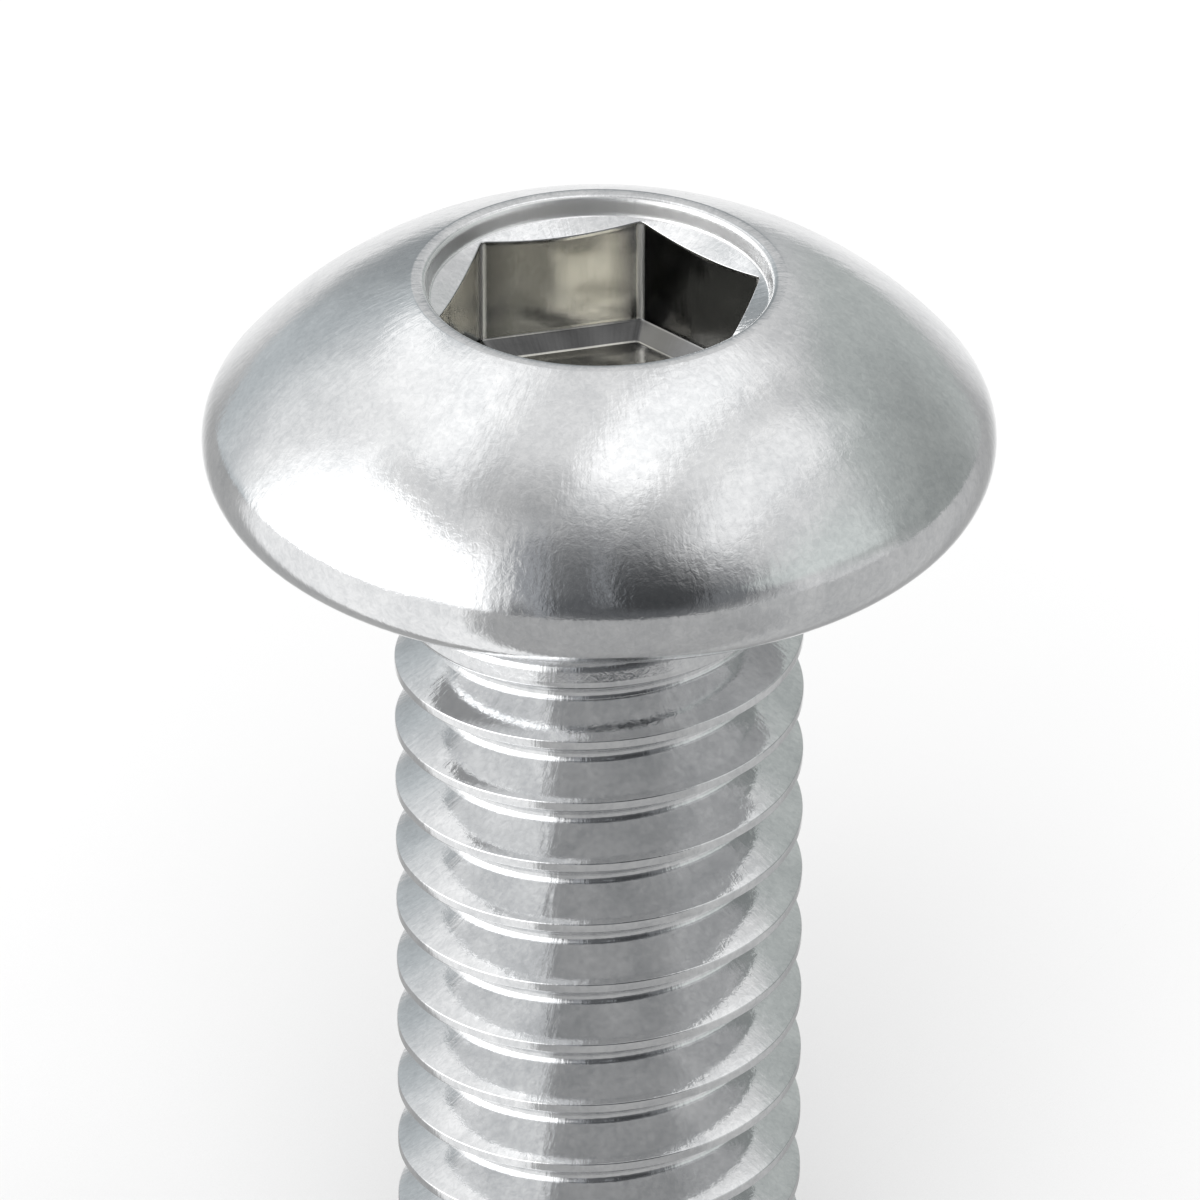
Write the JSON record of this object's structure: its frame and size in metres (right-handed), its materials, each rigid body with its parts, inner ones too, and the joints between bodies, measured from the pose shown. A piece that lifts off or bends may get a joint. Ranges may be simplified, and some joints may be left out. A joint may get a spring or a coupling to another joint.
{
  "type": "button head screw",
  "caption": "Button head socket screw with a low domed head, rounded rim, hexagon socket and a full-length right-hand metric thread.",
  "frame": {"origin": "middle of the bearing face under the head", "axes": "+Z along the screw's axis, out of the head; a corner of the hexagon socket lies towards +X"},
  "size_m": [0.0056, 0.0056, 0.0096],
  "materials": {
    "bright_steel": "bright, softly polished, with a fine grain"
  },
  "bodies": {
    "root": {"button_head_screw": "bright_steel"}
  },
  "joints": []
}
